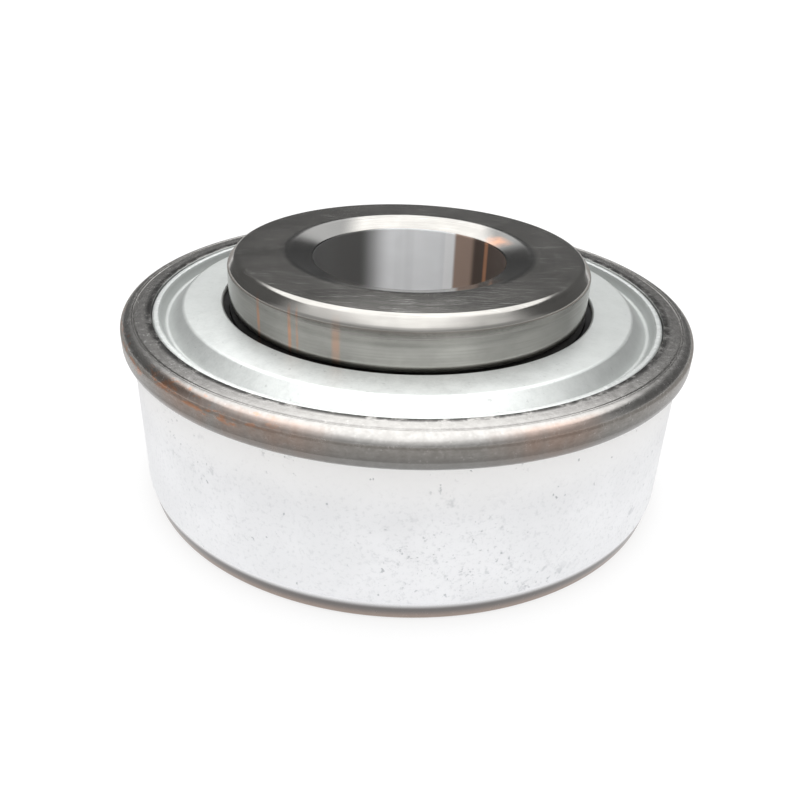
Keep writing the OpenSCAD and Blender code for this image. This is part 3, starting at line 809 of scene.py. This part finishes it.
class BEARING_OT_cage(bpy.types.Operator):
    """Give the two halves of the cage and its rivets their finishes."""

    bl_idname = "bearing.cage"
    bl_label = "Cage and rivets"

    def execute(self, context):
        looks = context.scene.finishes
        strip = strip_finish("Pressed cage steel", looks.cage_strip, 3600.0, 0.36)
        rivet = strip_finish("Formed rivet steel", looks.rivet_head, 5200.0, 0.3)
        for names, finish in ((("cage_upper", "cage_lower"), strip), (RIVETS, rivet)):
            for name in names:
                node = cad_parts[name]
                node.data.materials.clear()
                node.data.materials.append(finish)
        return {"FINISHED"}


class BEARING_OT_stage(bpy.types.Operator):
    """Set the camera, the pale floor and the soft light."""

    bl_idname = "bearing.stage"
    bl_label = "Stage"

    def execute(self, context):
        scene, stage = context.scene, context.scene.stage_settings
        scene.view_settings.view_transform = "Standard"
        lens = bpy.data.cameras.new("Camera")
        lens.lens, lens.sensor_width = stage.focal, 36.0
        lens.clip_start, lens.clip_end = 0.001, 100.0
        camera = bpy.data.objects.new("Camera", lens)
        camera.location = (0.0, -0.07684, 0.04807)
        camera.rotation_euler = tuple(math.radians(a) for a in (61.464, -1.856, 1.322))
        scene.collection.objects.link(camera)
        scene.camera = camera

        mesh = bmesh.new()
        bmesh.ops.create_circle(mesh, cap_ends=True, segments=64, radius=stage.floor_radius)
        bmesh.ops.translate(mesh, verts=mesh.verts[:], vec=(0.0, 0.0, -0.01 * MM))
        data = bpy.data.meshes.new("Floor")
        mesh.to_mesh(data)
        mesh.free()
        floor = bpy.data.objects.new("Floor", data)
        scene.collection.objects.link(floor)
        data.materials.append(self.floor_material(stage))
        self.shade_card(stage)
        scene.world = self.world_light(stage)
        return {"FINISHED"}

    def shade_card(self, stage):
        """A flat grey ring on the floor, out of the camera's sight, which darkens low reflections."""
        mesh = bmesh.new()
        first = mesh.verts.new((stage.card_inner, 0.0, 0.02 * MM))
        second = mesh.verts.new((stage.card_outer, 0.0, 0.02 * MM))
        mesh.edges.new((first, second))
        bmesh.ops.spin(mesh, geom=mesh.verts[:] + mesh.edges[:], cent=(0.0, 0.0, 0.0), axis=(0.0, 0.0, 1.0),
                       angle=math.tau, steps=96, use_merge=True)
        bmesh.ops.recalc_face_normals(mesh, faces=mesh.faces[:])
        data = bpy.data.meshes.new("Shade card")
        mesh.to_mesh(data)
        mesh.free()
        card = bpy.data.objects.new("Shade_card", data)
        bpy.context.scene.collection.objects.link(card)
        material = bpy.data.materials.new("Grey card")
        material.use_nodes = True
        tree = material.node_tree
        tree.nodes.clear()
        glow = tree.nodes.new("ShaderNodeEmission")
        glow.inputs["Color"].default_value = (*stage.card, 1.0)
        out = tree.nodes.new("ShaderNodeOutputMaterial")
        tree.links.new(glow.outputs[0], out.inputs["Surface"])
        data.materials.append(material)
        card.visible_camera = card.visible_diffuse = card.visible_shadow = False
        return card

    def floor_material(self, stage):
        """A pale matt floor that shows near white and keeps the object's shadow."""
        material = bpy.data.materials.new("Pale floor")
        material.use_nodes = True
        tree = material.node_tree
        tree.nodes.clear()
        out = tree.nodes.new("ShaderNodeOutputMaterial")
        matt = tree.nodes.new("ShaderNodeBsdfDiffuse")
        matt.inputs["Color"].default_value = (*stage.floor_colour, 1.0)
        glow = tree.nodes.new("ShaderNodeEmission")
        glow.inputs["Color"].default_value = (1.0, 1.0, 1.0, 1.0)
        glow.inputs["Strength"].default_value = 1.03
        mix = tree.nodes.new("ShaderNodeMixShader")
        seen = seen_rays(tree)
        part = tree.nodes.new("ShaderNodeMath")
        part.operation = "MULTIPLY"
        part.inputs[1].default_value = stage.floor_glow
        tree.links.new(seen, part.inputs[0])
        tree.links.new(part.outputs[0], mix.inputs[0])
        tree.links.new(matt.outputs[0], mix.inputs[1])
        tree.links.new(glow.outputs[0], mix.inputs[2])
        tree.links.new(mix.outputs[0], out.inputs["Surface"])
        return material

    def ramp(self, tree, value, stops):
        """A grey level that follows a value through its stops."""
        node = tree.nodes.new("ShaderNodeValToRGB")
        node.color_ramp.interpolation = "EASE"
        steps = node.color_ramp.elements
        while len(steps) < len(stops):
            steps.new(0.5)
        for step, (place, level) in zip(steps, stops):
            step.position = place
            step.color = (level, level, level, 1.0)
        tree.links.new(value, node.inputs[0])
        return node.outputs[0]

    def world_light(self, stage):
        """A grey surround with a wide soft light overhead. It is plain white where the camera sees it."""
        world = bpy.data.worlds.new("Soft studio")
        world.use_nodes = True
        tree = world.node_tree
        tree.nodes.clear()
        out = tree.nodes.new("ShaderNodeOutputWorld")
        light = tree.nodes.new("ShaderNodeBackground")
        white = tree.nodes.new("ShaderNodeBackground")
        white.inputs["Color"].default_value = (1.0, 1.0, 1.0, 1.0)
        mix = tree.nodes.new("ShaderNodeMixShader")
        where = tree.nodes.new("ShaderNodeTexCoord")
        apart = tree.nodes.new("ShaderNodeSeparateXYZ")
        tree.links.new(where.outputs["Generated"], apart.inputs[0])
        low = stage.surround / stage.softbox
        aside = tree.nodes.new("ShaderNodeMath")
        aside.operation = "ABSOLUTE"
        tree.links.new(apart.outputs[0], aside.inputs[0])
        height = tree.nodes.new("ShaderNodeMath")
        height.operation = "MULTIPLY_ADD"
        height.inputs[1].default_value = -stage.side_fade
        tree.links.new(aside.outputs[0], height.inputs[0])
        tree.links.new(apart.outputs[2], height.inputs[2])
        far = self.ramp(tree, height.outputs[0], ((0.0, low), (0.39, low), (0.45, 0.92), (0.8, 0.95)))
        near = self.ramp(tree, height.outputs[0], ((0.0, 0.22), (0.45, 0.45), (0.8, 0.85), (0.95, 0.95)))
        side = tree.nodes.new("ShaderNodeMapRange")
        side.interpolation_type = "SMOOTHSTEP"
        side.inputs["From Min"].default_value = -0.25
        side.inputs["From Max"].default_value = 0.1
        tree.links.new(apart.outputs[1], side.inputs["Value"])
        both = tree.nodes.new("ShaderNodeMix")
        both.data_type = "RGBA"
        tree.links.new(side.outputs[0], both.inputs["Factor"])
        tree.links.new(near, both.inputs[6])
        tree.links.new(far, both.inputs[7])
        tree.links.new(both.outputs[2], light.inputs["Color"])
        light.inputs["Strength"].default_value = stage.softbox
        path = tree.nodes.new("ShaderNodeLightPath")
        tree.links.new(path.outputs["Is Camera Ray"], mix.inputs[0])
        tree.links.new(light.outputs[0], mix.inputs[1])
        tree.links.new(white.outputs[0], mix.inputs[2])
        tree.links.new(mix.outputs[0], out.inputs["Surface"])
        return world


def seen_rays(tree):
    """1 for what the camera sees directly, in gloss or through glass."""
    path = tree.nodes.new("ShaderNodeLightPath")
    total = path.outputs["Is Camera Ray"]
    for name in ("Is Glossy Ray", "Is Transmission Ray"):
        step = tree.nodes.new("ShaderNodeMath")
        step.operation = "ADD"
        step.use_clamp = True
        tree.links.new(total, step.inputs[0])
        tree.links.new(path.outputs[name], step.inputs[1])
        total = step.outputs[0]
    return total


OPERATORS = (
    BEARING_OT_outer_ring, BEARING_OT_inner_ring, BEARING_OT_shields, BEARING_OT_seals,
    BEARING_OT_balls, BEARING_OT_cage, BEARING_OT_stage,
)
SETTINGS = {
    "ring_sizes": RingSizes, "ball_sizes": BallSizes, "shield_sizes": ShieldSizes,
    "finishes": Finishes, "stage_settings": StageSettings,
}


class BEARING_PT_parts(bpy.types.Panel):
    """The bearing's parts and stage in the sidebar."""

    bl_idname = "BEARING_PT_parts"
    bl_label = "Insert bearing"
    bl_space_type = "VIEW_3D"
    bl_region_type = "UI"
    bl_category = "Bearing"

    def draw(self, context):
        for operator in OPERATORS:
            self.layout.operator(operator.bl_idname)
        for name, group in SETTINGS.items():
            box = self.layout.box()
            box.label(text=group.__doc__)
            for key in group.__annotations__:
                box.prop(getattr(context.scene, name), key)


def register():
    """Registers the settings, the operators and the panel."""
    for name, group in SETTINGS.items():
        bpy.utils.register_class(group)
        setattr(bpy.types.Scene, name, bpy.props.PointerProperty(type=group))
    for one in (*OPERATORS, BEARING_PT_parts):
        bpy.utils.register_class(one)


def unregister():
    """Takes the settings, the operators and the panel away again."""
    for one in reversed((*OPERATORS, BEARING_PT_parts)):
        bpy.utils.unregister_class(one)
    for name, group in SETTINGS.items():
        delattr(bpy.types.Scene, name)
        bpy.utils.unregister_class(group)


def main():
    """Builds every part and the stage."""
    register()
    bpy.ops.bearing.outer_ring()
    bpy.ops.bearing.inner_ring()
    bpy.ops.bearing.shields()
    bpy.ops.bearing.seals()
    bpy.ops.bearing.balls()
    bpy.ops.bearing.cage()
    bpy.ops.bearing.stage()


if __name__ == "__main__":
    main()
